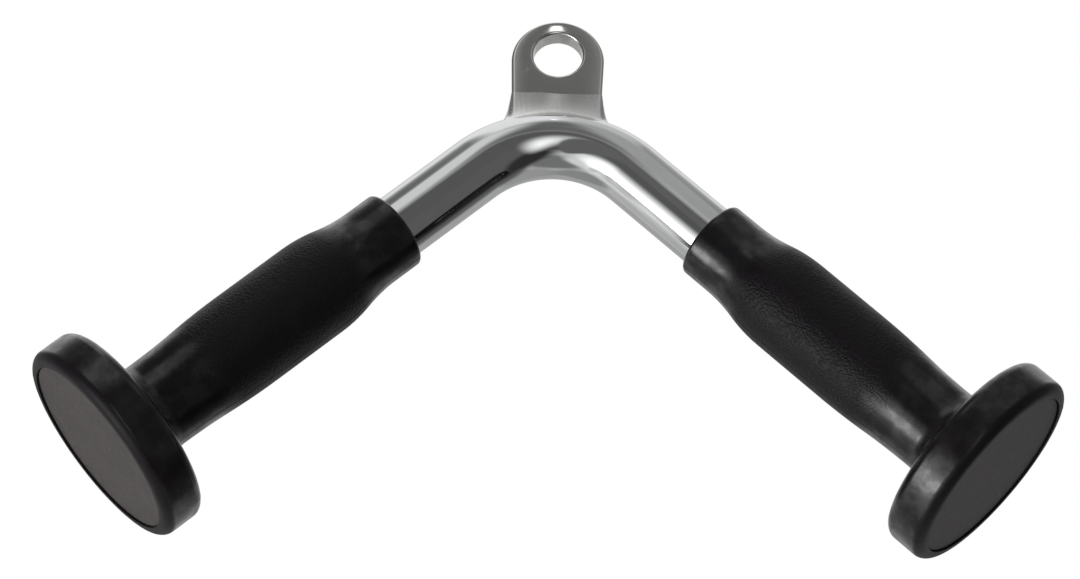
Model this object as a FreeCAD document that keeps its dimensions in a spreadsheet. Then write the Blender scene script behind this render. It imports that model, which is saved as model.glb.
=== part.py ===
import FreeCAD, Part
import os

import Sketcher
from FreeCAD import Placement, Rotation, Vector

# Triceps bar: a V of round steel bar that hangs from a cable by a welded eye, with a rubber grip
# on each arm. The origin is the centre of the eye's hole. +Z points up along the cable, +X to the
# right, and the V lies in the plane of X and Z. All sizes are millimetres, and angles degrees.

SIZES = (
    # The bent bar
    ("bar_diameter", 25.4, "round bar, one inch"),
    ("bend_radius", 44.0, "bend at the middle, to the bar's centre line"),
    ("arm_angle", 47.5, "angle between an arm and the hanging line"),
    ("arm_straight", 169.7, "straight run from the bend to the bar's end"),
    ("bar_end_chamfer", 1.0, "chamfer round each end of the bar"),
    ("tapped_depth", 30.0, "full depth of the tapped hole in each end"),
    ("drill_point", 2.4, "height of the cone that the drill leaves"),
    # The eye plate and its weld
    ("eye_hole", 19.0, "hole for the cable's hook"),
    ("eye_height", 26.0, "from the top of the bar to the hole's centre"),
    ("eye_width", 35.5, "width of the plate's rounded head"),
    ("eye_foot_width", 33.8, "width of the plate where it meets the bar"),
    ("eye_thickness", 8.0, "thickness of the plate"),
    ("eye_top_wall", 5.5, "metal left above the hole"),
    ("eye_edge_round", 1.0, "rounding of the plate's edges and of the hole"),
    ("weld_height", 8.4, "how far the weld climbs the plate"),
    ("weld_leg", 5.0, "how far the weld's root reaches past the plate's edges"),
    ("weld_lip", 0.5, "thickness of the weld at its upper edge"),
    # The rubber grips
    ("grip_length", 143.0, "whole moulding, end to end"),
    ("grip_fit", 0.1, "gap between the bar and the grip's bore"),
    ("collar_diameter", 31.4, "straight collar at the inner end"),
    ("collar_length", 12.0, "length of the collar"),
    ("collar_round", 1.4, "rounding of the collar's open end"),
    ("belly_diameter", 38.3, "widest place of the handle"),
    ("belly_station", 41.0, "from the inner end to where the belly has its full width"),
    ("belly_length", 31.0, "straight run of the belly"),
    ("neck_diameter", 35.1, "narrow place before the flange"),
    ("flare_radius", 10.0, "hollow curve from the neck to the flange"),
    ("flange_diameter", 82.6, "round flange that stops the hand"),
    ("flange_thickness", 17.4, "thickness of the flange"),
    ("flange_round", 4.0, "rounding of the flange's rim, both sides"),
    ("rim_width", 5.6, "rim of the flange outside the cap"),
    # The end caps
    ("cap_thickness", 2.5, "thickness of the cap's disc"),
    ("cap_inset", 0.8, "how far the cap lies below the flange's face"),
    ("cap_gap", 0.3, "gap round the cap"),
    ("cap_edge_round", 0.7, "rounding of the cap's outer edge"),
    ("spigot_length", 6.0, "ring behind the cap that holds it in the grip"),
    ("spigot_wall", 2.4, "wall of that ring"),
    ("spigot_fit", 0.1, "gap between that ring and the grip"),
    # The screw and its washers
    ("washer_diameter", 34.0, "broad flat washer"),
    ("washer_bore", 8.6, "hole of the flat washer"),
    ("washer_thickness", 2.5, "thickness of the flat washer"),
    ("washer_chamfer", 0.4, "chamfer of the flat washer's edge"),
    ("washer_gap", 0.6, "gap between the flat washer and its pocket"),
    ("lock_washer_diameter", 14.2, "split spring washer"),
    ("lock_washer_bore", 8.4, "hole of the spring washer"),
    ("lock_washer_thickness", 2.0, "thickness of the spring washer"),
    ("lock_washer_split", 1.2, "width of its split"),
    ("screw_diameter", 8.0, "thread of the screw"),
    ("screw_length", 25.0, "screw below its head"),
    ("screw_fit", 0.1, "gap between the thread and its hole"),
    ("screw_tip_chamfer", 1.0, "chamfer of the screw's tip"),
    ("screw_head_width", 13.0, "hexagon across its flats"),
    ("screw_head_height", 5.3, "height of the hexagon"),
    ("head_gap", 0.4, "gap between the screw's head and the cap"),
)

# Share of a wall that a rounding on both of its sides may take.
ROUND_SHARE = 0.45
# The weld's root lies inside the bar: its depth and its half width over the bar's radius, and the
# rounding of its corners over its half width.
ROOT_DEPTH_SHARE = 0.70
ROOT_SPREAD_SHARE = 0.86
ROOT_ROUND_SHARE = 0.96
# Width of a hexagon's corners, and of the flat on top of a screw's head, over its flats.
HEX_CORNER_SHARE = 1.1547
HEAD_FLAT_SHARE = 0.95

SIDES = {"left": -1, "right": 1}

# Derived sizes, as expressions on the sheet's names.
BAR_R = "Sizes.bar_diameter / 2"
BORE_R = f"({BAR_R} + Sizes.grip_fit)"
BEND_TOP = f"(Sizes.eye_height + {BAR_R})"
BEND_AXIS = f"({BEND_TOP} + Sizes.bend_radius)"
HEAD_R = "Sizes.eye_width / 2"
HEAD_DROP = f"({HEAD_R} - Sizes.eye_hole / 2 - Sizes.eye_top_wall)"
FOOT_HALF = "Sizes.eye_foot_width / 2"
WASHERS = "(Sizes.washer_thickness + Sizes.lock_washer_thickness)"
END_STACK = f"({WASHERS} + Sizes.screw_head_height + Sizes.head_gap)"
CAP_SEAT = "(Sizes.cap_inset + Sizes.cap_thickness)"
END_RECESS = f"({END_STACK} + {CAP_SEAT})"
POCKET_R = "(Sizes.washer_diameter / 2 + Sizes.washer_gap)"
CAP_R = "(Sizes.flange_diameter / 2 - Sizes.rim_width)"
SIN_ARM = "sin(Sizes.arm_angle * 1 deg)"
COS_ARM = "cos(Sizes.arm_angle * 1 deg)"


doc = FreeCAD.newDocument("triceps_bar")


def make_sheet():
    """Put every driving size in one sheet: its value, its name and what it is."""
    sheet = doc.addObject("Spreadsheet::Sheet", "Sizes")
    for row, (alias, value, words) in enumerate(SIZES, start=1):
        sheet.set(f"A{row}", alias)
        sheet.set(f"B{row}", str(value))
        sheet.set(f"C{row}", words)
        sheet.setAlias(f"B{row}", alias)
    doc.recompute()
    return sheet


sheet = make_sheet()


def worth(expression):
    """Give the number that an expression on the sheet's names has now."""
    value = sheet.evalExpression(expression.replace("Sizes.", ""))
    return float(getattr(value, "Value", value))


def new_body(name):
    """Start a piece of its own."""
    body = doc.addObject("PartDesign::Body", name)
    body.Label = name
    return body


def plane_of(body, role):
    """Find one of a body's own origin planes."""
    return next(plane for plane in body.Origin.OriginFeatures if plane.Role == role)


def new_sketch(body, name, role, height=None):
    """Attach a sketch to a body's origin plane, or at a height above it."""
    sketch = body.newObject("Sketcher::SketchObject", name)
    sketch.AttachmentSupport = (plane_of(body, role), [""])
    sketch.MapMode = "FlatFace"
    if height is not None:
        sketch.setExpression("AttachmentOffset.Base.z", height)
    return sketch


def hold(sketch, kind, refs, expression):
    """Add one measured constraint and bind it to an expression."""
    index = sketch.addConstraint(Sketcher.Constraint(kind, *refs, worth(expression)))
    sketch.setExpression(f"Constraints[{index}]", expression)


def pin_point(sketch, geometry, end, across, along):
    """Hold one end of a curve at its place, measured from the sketch's origin."""
    for kind, axis, expression in (("DistanceX", -2, across), ("DistanceY", -1, along)):
        if expression == "0":
            sketch.addConstraint(Sketcher.Constraint("PointOnObject", geometry, end, axis))
        else:
            hold(sketch, kind, (-1, 1, geometry, end), expression)


def arc_through(start, finish, radius, bulge):
    """Make the short arc that leaves the straight way on its left (1) or its right (-1).

    A sketch keeps its arcs anticlockwise, so one that bulges to the left runs backwards.
    """
    chord = finish - start
    left = Vector(-chord.y, chord.x, 0).normalize()
    height = max(radius ** 2 - (chord.Length / 2) ** 2, 0.0) ** 0.5
    crest = (start + finish) * 0.5 + left * (bulge * (radius - height))
    return Part.Arc(finish, crest, start) if bulge > 0 else Part.Arc(start, crest, finish)


def draw_outline(sketch, corners):
    """Draw a closed outline.

    Each corner is (across, along) as expressions, reached by a straight line, or
    (across, along, radius, bulge), reached by an arc of that radius.
    """
    places = [Vector(worth(corner[0]), worth(corner[1]), 0) for corner in corners]
    first = sketch.GeometryCount
    count = len(corners)
    ends = []
    for index in range(count):
        goal = corners[(index + 1) % count]
        start, finish = places[index], places[(index + 1) % count]
        if len(goal) == 2:
            sketch.addGeometry(Part.LineSegment(start, finish))
            ends.append((1, 2))
        else:
            sketch.addGeometry(arc_through(start, finish, worth(goal[2]), goal[3]))
            ends.append((2, 1) if goal[3] > 0 else (1, 2))
    for index, corner in enumerate(corners):
        before = (index - 1) % count
        joint = (first + before, ends[before][1], first + index, ends[index][0])
        sketch.addConstraint(Sketcher.Constraint("Coincident", *joint))
        pin_point(sketch, first + index, ends[index][0], corner[0], corner[1])
        if len(corner) == 4:
            hold(sketch, "Radius", (first + before,), corner[2])


def draw_circle(sketch, radius, along="0"):
    """Draw a circle on the sketch's upright axis."""
    centre = Vector(0, worth(along), 0)
    index = sketch.addGeometry(Part.Circle(centre, Vector(0, 0, 1), worth(radius)))
    pin_point(sketch, index, 3, "0", along)
    hold(sketch, "Radius", (index,), radius)


def revolve(body, name, corners, kind="PartDesign::Revolution"):
    """Turn an outline of (radius, height) corners about the body's own Z axis."""
    sketch = new_sketch(body, f"{name}_outline", "XZ_Plane")
    draw_outline(sketch, corners)
    feature = body.newObject(kind, name)
    feature.Profile = sketch
    feature.ReferenceAxis = (sketch, ["V_Axis"])
    feature.Angle = 360
    return feature


def pad(body, name, sketch, length, both_ways=False):
    """Raise a sketch into a solid."""
    feature = body.newObject("PartDesign::Pad", name)
    feature.Profile = sketch
    feature.SideType = "Symmetric" if both_ways else "One side"
    feature.setExpression("Length", length)
    return feature


def edges_where(feature, test):
    """Name the edges of a feature that pass a test."""
    edges = enumerate(feature.Shape.Edges, start=1)
    return [f"Edge{number}" for number, edge in edges if test(edge)]


def dress_edges(body, kind, name, base, size_name, size, test):
    """Round or chamfer the edges of a feature that pass a test."""
    doc.recompute()
    feature = body.newObject(kind, name)
    feature.Base = (base, edges_where(base, test))
    feature.setExpression(size_name, size)
    return feature


def put_on_arm(body, side, station):
    """Stand a body on an arm: its Z axis runs outwards, its origin a station past the bend."""
    turn = worth("180 - Sizes.arm_angle")
    body.Placement = Placement(Vector(0, 0, 0), Rotation(Vector(0, SIDES[side], 0), turn))
    run = f"(Sizes.bend_radius * {COS_ARM} + ({station}) * {SIN_ARM})"
    drop = f"{BEND_AXIS} - Sizes.bend_radius * {SIN_ARM} + ({station}) * {COS_ARM}"
    body.setExpression("Placement.Base.x", f"{SIDES[side]} * {run}")
    body.setExpression("Placement.Base.z", f"-({drop})")
    body.setExpression("Placement.Rotation.Angle", "180 deg - Sizes.arm_angle * 1 deg")


def cut_end_hole(body, side):
    """Tap one end of the bent bar: a blind hole along the arm with a drill's cone at its end."""
    sketch = new_sketch(body, f"{side}_hole_outline", "XZ_Plane")
    turn = worth("180 - Sizes.arm_angle")
    flip = Rotation(Vector(0, 0, -SIDES[side]), turn)
    sketch.AttachmentOffset = Placement(Vector(0, 0, 0), flip)
    run = f"(Sizes.bend_radius * {COS_ARM} + Sizes.arm_straight * {SIN_ARM})"
    drop = f"({BEND_AXIS} - Sizes.bend_radius * {SIN_ARM} + Sizes.arm_straight * {COS_ARM})"
    sketch.setExpression("AttachmentOffset.Base.x", f"{SIDES[side]} * {run}")
    sketch.setExpression("AttachmentOffset.Base.y", f"-{drop}")
    sketch.setExpression("AttachmentOffset.Rotation.Angle", "180 deg - Sizes.arm_angle * 1 deg")
    radius = "(Sizes.screw_diameter / 2 + Sizes.screw_fit)"
    draw_outline(sketch, [
        ("0", "0"),
        (radius, "0"),
        (radius, "-Sizes.tapped_depth"),
        ("0", "-(Sizes.tapped_depth + Sizes.drill_point)"),
    ])
    hole = body.newObject("PartDesign::Groove", f"{side}_hole")
    hole.Profile = sketch
    hole.ReferenceAxis = (sketch, ["V_Axis"])
    hole.Angle = 360
    return hole


def make_v_bar():
    """Bend a round bar once at its middle, chamfer its ends and tap them."""
    body = new_body("v_bar")
    bend_run = f"(Sizes.bend_radius * {COS_ARM})"
    bend_drop = f"({BEND_AXIS} - Sizes.bend_radius * {SIN_ARM})"
    end_run = f"({bend_run} + Sizes.arm_straight * {SIN_ARM})"
    end_drop = f"({bend_drop} + Sizes.arm_straight * {COS_ARM})"

    route = new_sketch(body, "centre_line", "XZ_Plane")
    path = [(f"-{end_run}", f"-{end_drop}"), (f"-{bend_run}", f"-{bend_drop}"),
            (bend_run, f"-{bend_drop}"), (end_run, f"-{end_drop}")]
    spots = [Vector(worth(across), worth(along), 0) for across, along in path]
    route.addGeometry(Part.LineSegment(spots[0], spots[1]))
    route.addGeometry(Part.LineSegment(spots[2], spots[3]))
    route.addGeometry(arc_through(spots[1], spots[2], worth("Sizes.bend_radius"), 1))
    route.addConstraint(Sketcher.Constraint("Coincident", 0, 2, 2, 2))
    route.addConstraint(Sketcher.Constraint("Coincident", 1, 1, 2, 1))
    for line, end, spot in ((0, 1, 0), (0, 2, 1), (1, 1, 2), (1, 2, 3)):
        pin_point(route, line, end, *path[spot])
    hold(route, "Radius", (2,), "Sizes.bend_radius")
    doc.recompute()

    section = body.newObject("Sketcher::SketchObject", "round_section")
    section.AttachmentSupport = (route, ["Edge1"])
    section.MapMode = "NormalToEdge"
    section.MapPathParameter = 0
    draw_circle(section, BAR_R)
    doc.recompute()

    bar = body.newObject("PartDesign::AdditivePipe", "bent_bar")
    bar.Profile = section
    bar.Spine = (route, ["Edge1", "Edge2", "Edge3"])

    reach = worth(end_run) - worth("Sizes.bar_diameter")

    def at_an_end(edge):
        return edge.Closed and abs(edge.BoundBox.Center.x) > reach

    dress_edges(body, "PartDesign::Chamfer", "end_chamfers", bar, "Size", "Sizes.bar_end_chamfer",
                at_an_end)
    for side in SIDES:
        cut_end_hole(body, side)
    return body


def draw_plate(sketch):
    """Draw the eye plate: straight sides, a round head, and a foot inside the bar."""
    top = "(Sizes.eye_hole / 2 + Sizes.eye_top_wall)"
    draw_outline(sketch, [
        (f"-{FOOT_HALF}", f"-{BEND_TOP}"),
        (FOOT_HALF, f"-{BEND_TOP}"),
        (HEAD_R, f"-{HEAD_DROP}"),
        ("0", top, HEAD_R, -1),
        (f"-{HEAD_R}", f"-{HEAD_DROP}", HEAD_R, -1),
    ])


def make_eye_lug(bar):
    """Cut the eye plate from flat stock, drill and round it, and hollow its foot to the bar."""
    body = new_body("eye_blank")
    sketch = new_sketch(body, "plate_outline", "XZ_Plane")
    draw_plate(sketch)
    draw_circle(sketch, "Sizes.eye_hole / 2")
    plate = pad(body, "plate", sketch, "Sizes.eye_thickness", both_ways=True)

    half = worth("Sizes.eye_thickness / 2")
    foot = worth(f"-{BEND_TOP}")
    tiny = worth("Sizes.eye_edge_round") / 1000

    def on_a_face(edge):
        box = edge.BoundBox
        flat = box.YLength < tiny and abs(abs(box.Center.y) - half) < tiny
        return flat and box.ZMax > foot + tiny

    rounding = f"min(Sizes.eye_edge_round; Sizes.eye_top_wall * {ROUND_SHARE})"
    dress_edges(body, "PartDesign::Fillet", "edge_rounding", plate, "Radius", rounding, on_a_face)

    lug = doc.addObject("Part::Cut", "eye_lug")
    lug.Base = body
    lug.Tool = bar
    lug.Label = "eye_lug"
    return lug


def draw_bead_level(sketch, length, depth, corner):
    """Draw a rectangle with round corners about the plate's foot."""
    half_x, half_y = f"({length})", f"({depth})"
    in_x, in_y = f"({half_x} - {corner})", f"({half_y} - {corner})"
    draw_outline(sketch, [
        (in_x, f"-{half_y}"),
        (half_x, f"-{in_y}", corner, -1),
        (half_x, in_y),
        (in_x, half_y, corner, -1),
        (f"-{in_x}", half_y),
        (f"-{half_x}", in_y, corner, -1),
        (f"-{half_x}", f"-{in_y}"),
        (f"-{in_x}", f"-{half_y}", corner, -1),
    ])


def make_lug_weld(bar, lug):
    """Lay the weld round the plate's foot: a tapered bead between the plate and the bar."""
    body = new_body("weld_blank")
    upper = new_sketch(body, "upper_edge", "XY_Plane", "Sizes.weld_height - Sizes.eye_height")
    climbed = f"({BAR_R} + Sizes.weld_height) / ({BEND_TOP} - {HEAD_DROP})"
    plate_half = f"({FOOT_HALF} + ({HEAD_R} - {FOOT_HALF}) * {climbed})"
    draw_bead_level(upper, f"{plate_half} + Sizes.weld_lip",
                    "Sizes.eye_thickness / 2 + Sizes.weld_lip",
                    "(Sizes.eye_edge_round + Sizes.weld_lip)")
    root = new_sketch(body, "root", "XY_Plane", f"-(Sizes.eye_height + {BAR_R} * {ROOT_DEPTH_SHARE})")
    spread = f"{BAR_R} * {ROOT_SPREAD_SHARE}"
    draw_bead_level(root, f"{FOOT_HALF} + Sizes.weld_leg", spread,
                    f"({spread} * {ROOT_ROUND_SHARE})")
    bead = body.newObject("PartDesign::AdditiveLoft", "tapered_bead")
    bead.Profile = upper
    bead.Sections = [root]
    bead.Ruled = True

    over_bar = doc.addObject("Part::Cut", "weld_over_bar")
    over_bar.Base = body
    over_bar.Tool = bar
    weld = doc.addObject("Part::Cut", "lug_weld")
    weld.Base = over_bar
    weld.Tool = lug
    weld.Label = "lug_weld"
    return weld


def make_grip(side):
    """Mould a grip: collar, belly, neck, flange, and the pockets in its face."""
    body = new_body(f"grip_{side}")
    collar, belly = "Sizes.collar_diameter / 2", "Sizes.belly_diameter / 2"
    neck, flange = "Sizes.neck_diameter / 2", "Sizes.flange_diameter / 2"
    back = "(Sizes.grip_length - Sizes.flange_thickness)"
    neck_end = f"({back} - Sizes.flare_radius)"
    swell_run = "(Sizes.belly_station - Sizes.collar_length)"
    swell_rise = f"({belly} - {collar})"
    belly_end = "(Sizes.belly_station + Sizes.belly_length)"
    waist_run = f"({neck_end} - {belly_end})"
    waist_rise = f"({belly} - {neck})"
    # Two arcs of one radius make each smooth step from one diameter to the next.
    swell_r = f"({swell_run}^2 + {swell_rise}^2) / (4 * {swell_rise})"
    waist_r = f"({waist_run}^2 + {waist_rise}^2) / (4 * {waist_rise})"
    cap_pocket = f"({CAP_R} + Sizes.cap_gap)"
    revolve(body, "moulding", [
        (BORE_R, "0"),
        (f"({collar} - Sizes.collar_round)", "0"),
        (collar, "Sizes.collar_round", "Sizes.collar_round", -1),
        (collar, "Sizes.collar_length"),
        (f"({collar} + {belly}) / 2", "(Sizes.collar_length + Sizes.belly_station) / 2", swell_r, 1),
        (belly, "Sizes.belly_station", swell_r, -1),
        (belly, belly_end),
        (f"({belly} + {neck}) / 2", f"({belly_end} + {neck_end}) / 2", waist_r, -1),
        (neck, neck_end, waist_r, 1),
        (f"({neck} + Sizes.flare_radius)", back, "Sizes.flare_radius", 1),
        (f"({flange} - Sizes.flange_round)", back),
        (flange, f"({back} + Sizes.flange_round)", "Sizes.flange_round", -1),
        (flange, "(Sizes.grip_length - Sizes.flange_round)"),
        (f"({flange} - Sizes.flange_round)", "Sizes.grip_length", "Sizes.flange_round", -1),
        (cap_pocket, "Sizes.grip_length"),
        (cap_pocket, f"(Sizes.grip_length - {CAP_SEAT})"),
        (POCKET_R, f"(Sizes.grip_length - {CAP_SEAT})"),
        (POCKET_R, f"(Sizes.grip_length - {END_RECESS})"),
        (BORE_R, f"(Sizes.grip_length - {END_RECESS})"),
    ])
    put_on_arm(body, side, f"Sizes.arm_straight + {END_RECESS} - Sizes.grip_length")
    return body


def make_washer(side):
    """Turn the broad flat washer that clamps the grip on the bar's end."""
    body = new_body(f"grip_washer_{side}")
    rim, hole = "Sizes.washer_diameter / 2", "Sizes.washer_bore / 2"
    revolve(body, "ring", [
        (hole, "0"),
        (rim, "0"),
        (rim, "(Sizes.washer_thickness - Sizes.washer_chamfer)"),
        (f"({rim} - Sizes.washer_chamfer)", "Sizes.washer_thickness"),
        (hole, "Sizes.washer_thickness"),
    ])
    put_on_arm(body, side, "Sizes.arm_straight")
    return body


def make_lock_washer(side):
    """Make the split spring washer under the screw's head."""
    body = new_body(f"lock_washer_{side}")
    rim, hole = "Sizes.lock_washer_diameter / 2", "Sizes.lock_washer_bore / 2"
    revolve(body, "ring", [
        (hole, "0"),
        (rim, "0"),
        (rim, "Sizes.lock_washer_thickness"),
        (hole, "Sizes.lock_washer_thickness"),
    ])
    doc.recompute()
    split = new_sketch(body, "split_outline", "XY_Plane")
    gap = "Sizes.lock_washer_split / 2"
    draw_outline(split, [
        (f"-{gap}", "0"),
        (gap, "0"),
        (gap, "Sizes.lock_washer_diameter"),
        (f"-{gap}", "Sizes.lock_washer_diameter"),
    ])
    slit = body.newObject("PartDesign::Pocket", "split")
    slit.Profile = split
    slit.Type = "ThroughAll"
    slit.SideType = "Symmetric"
    put_on_arm(body, side, "Sizes.arm_straight + Sizes.washer_thickness")
    return body


def make_screw(side):
    """Make the hexagon screw: chamfered tip, round shank, and a hexagon with its corners cut."""
    body = new_body(f"grip_screw_{side}")
    shank = "Sizes.screw_diameter / 2"
    revolve(body, "shank", [
        ("0", "0"),
        (f"({shank} - Sizes.screw_tip_chamfer)", "0"),
        (shank, "Sizes.screw_tip_chamfer"),
        (shank, "Sizes.screw_length"),
        ("0", "Sizes.screw_length"),
    ])
    head = new_sketch(body, "head_outline", "XY_Plane", "Sizes.screw_length")
    flat = "Sizes.screw_head_width / 2"
    point = f"Sizes.screw_head_width * {HEX_CORNER_SHARE} / 2"
    draw_outline(head, [
        (point, "0"),
        (f"({point}) / 2", flat),
        (f"-({point}) / 2", flat),
        (f"-({point})", "0"),
        (f"-({point}) / 2", f"-{flat}"),
        (f"({point}) / 2", f"-{flat}"),
    ])
    pad(body, "hexagon", head, "Sizes.screw_head_height")
    doc.recompute()
    top = "(Sizes.screw_length + Sizes.screw_head_height)"
    level = f"{flat} * {HEAD_FLAT_SHARE}"
    cut = f"({point} - {level}) / 2"
    revolve(body, "corner_cut", [
        (level, top),
        (f"{point} * 2 - {level}", f"({top} - {cut} * 2)"),
        (f"{point} * 2 - {level}", top),
    ], kind="PartDesign::Groove")
    put_on_arm(body, side, f"Sizes.arm_straight + {WASHERS} - Sizes.screw_length")
    return body


def make_end_cap(side):
    """Mould the cap: a flat disc with a ring behind it that holds in the grip's pocket."""
    body = new_body(f"end_cap_{side}")
    outer = f"({POCKET_R} - Sizes.spigot_fit)"
    inner = f"({outer} - Sizes.spigot_wall)"
    face = "(Sizes.spigot_length + Sizes.cap_thickness)"
    revolve(body, "disc_and_ring", [
        ("0", "Sizes.spigot_length"),
        (inner, "Sizes.spigot_length"),
        (inner, "0"),
        (outer, "0"),
        (outer, "Sizes.spigot_length"),
        (CAP_R, "Sizes.spigot_length"),
        (CAP_R, f"({face} - Sizes.cap_edge_round)"),
        (f"({CAP_R} - Sizes.cap_edge_round)", face, "Sizes.cap_edge_round", -1),
        ("0", face),
    ])
    put_on_arm(body, side, f"Sizes.arm_straight + {END_STACK} - Sizes.spigot_length")
    return body


def check_and_write(pieces):
    """Stop if anything failed to build, then write each piece to a file of its own."""
    doc.recompute()
    failed = [thing.Name for thing in doc.Objects
              if "Invalid" in thing.State or "Error" in thing.State]
    if failed:
        raise RuntimeError(f"these did not build: {failed}")
    for piece in pieces:
        if piece.Shape.isNull() or not piece.Shape.isValid():
            raise RuntimeError(f"{piece.Label} has no valid shape")
    os.makedirs("parts", exist_ok=True)
    for piece in pieces:
        piece.Shape.exportStep(f"parts/{piece.Label}.step")
        print(piece.Label, len(piece.Shape.Solids), "solid", round(piece.Shape.Volume, 1), "mm3")


v_bar = make_v_bar()
eye_lug = make_eye_lug(v_bar)
lug_weld = make_lug_weld(v_bar, eye_lug)
on_arms = [make(side) for side in SIDES
           for make in (make_grip, make_washer, make_lock_washer, make_screw, make_end_cap)]
check_and_write([v_bar, eye_lug, lug_weld] + on_arms)
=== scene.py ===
"""Looks of a triceps bar: a bent chromed bar, a welded eye plate and two flanged rubber grips.

Lengths are metres in the part's own frame. The origin is the centre of the eye's hole, +Z points
up along the cable, +X to the right, and the V lies in the plane of X and Z.
"""

import logging
import math
from collections.abc import Callable
from dataclasses import dataclass, field
from enum import Enum
from typing import ClassVar

import bpy
import numpy as np
from mathutils import Matrix, Vector


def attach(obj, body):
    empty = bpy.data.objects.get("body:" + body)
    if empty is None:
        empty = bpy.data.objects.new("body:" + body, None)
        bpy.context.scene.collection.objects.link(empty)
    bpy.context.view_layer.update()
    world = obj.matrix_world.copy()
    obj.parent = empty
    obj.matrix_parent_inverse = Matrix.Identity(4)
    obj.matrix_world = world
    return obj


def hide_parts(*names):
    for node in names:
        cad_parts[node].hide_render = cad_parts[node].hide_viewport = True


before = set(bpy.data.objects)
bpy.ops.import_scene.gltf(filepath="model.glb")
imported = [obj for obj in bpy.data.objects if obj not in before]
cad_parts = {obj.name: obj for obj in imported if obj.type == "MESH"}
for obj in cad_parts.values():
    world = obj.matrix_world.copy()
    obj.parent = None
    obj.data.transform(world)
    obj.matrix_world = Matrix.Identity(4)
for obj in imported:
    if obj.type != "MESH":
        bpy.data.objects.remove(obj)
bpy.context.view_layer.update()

MM = 0.001
TAU = 2.0 * math.pi
UP = Vector((0.0, 0.0, 1.0))
BODY = "root"
SHARP_EDGE = math.radians(32.0)
POLE_RADIUS = 0.02 * MM
LOG = logging.getLogger("triceps_bar")


class Side(Enum):
    """The two arms, by the sign of X on which each lies."""

    LEFT = -1
    RIGHT = 1

    @property
    def word(self) -> str:
        """The arm's name in the names of pieces."""
        return self.name.lower()


# Meshes from grids


def add_object(name: str, data: bpy.types.ID) -> bpy.types.Object:
    """Make an object and link it to the scene.

    Args:
        name: Name of the object.
        data: Its mesh, lamp or camera.

    Returns:
        The object, at the origin.
    """
    thing = bpy.data.objects.new(name, data)
    bpy.context.scene.collection.objects.link(thing)
    return thing


@dataclass
class Skin:
    """A closed surface on a grid of rows and columns, whose columns always run round.

    Attributes:
        points: Places of the grid's corners, as an array of (rows, columns, 3).
        ring: True if the last row joins the first, as on a tube that bites its tail. Otherwise a
            fan of triangles closes each end row on the mean of its points.
        marks: Numbers kept on the corners for the finish to read, each (rows, columns) or a shape
            that stretches to it.
    """

    points: np.ndarray
    ring: bool = True
    marks: dict = field(default_factory=dict)

    def _quads(self) -> np.ndarray:
        """Join each corner to the next one round and the next row, as rows of four indices."""
        rows, columns = self.points.shape[:2]
        here = np.arange(rows * columns).reshape(rows, columns)
        there = np.roll(here, -1, axis=0)
        if not self.ring:
            here, there = here[:-1], there[:-1]
        sides = [here, np.roll(here, -1, axis=1), np.roll(there, -1, axis=1), there]
        return np.stack(sides, axis=-1).reshape(-1, 4)

    def _fans(self) -> np.ndarray:
        """Join the first and last rows to their poles, which follow the grid's own corners."""
        rows, columns = self.points.shape[:2]
        count = rows * columns
        first = np.arange(columns)
        last = first + count - columns
        head = np.stack([np.full(columns, count), np.roll(first, -1), first], axis=-1)
        tail = np.stack([np.full(columns, count + 1), last, np.roll(last, -1)], axis=-1)
        return np.concatenate([head, tail])

    def to_object(self, name: str) -> bpy.types.Object:
        """Make the surface a mesh object whose faces point outwards.

        The volume is the sum, over the faces, of the box product of their corners, so its sign
        tells which way they point.

        Args:
            name: Name of the new object and of its mesh.

        Returns:
            The object, linked to the scene, at the origin.
        """
        corners = self.points.reshape(-1, 3)
        quads, fans = self._quads(), np.zeros((0, 3), dtype=int)
        if not self.ring:
            poles = self.points[[0, -1]].mean(axis=1)
            corners = np.concatenate([corners, poles])
            fans = self._fans()
        halves = np.concatenate([quads[:, :3], quads[:, [0, 2, 3]], fans])
        a, b, c = (corners[halves[:, k]] for k in range(3))
        if (a * np.cross(b, c)).sum() < 0.0:
            quads, fans = quads[:, ::-1], fans[:, ::-1]
        mesh = bpy.data.meshes.new(name)
        mesh.from_pydata(corners.tolist(), [], [*quads.tolist(), *fans.tolist()])
        mesh.shade_smooth()
        mesh.set_sharp_from_angle(angle=SHARP_EDGE)
        for mark, values in self.marks.items():
            spread = np.broadcast_to(values, self.points.shape[:2]).ravel()
            layer = mesh.attributes.new(mark, "FLOAT", "POINT")
            layer.data.foreach_set("value", np.resize(spread, len(corners)).astype(np.float32))
        mesh.validate()
        return add_object(name, mesh)


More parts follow.
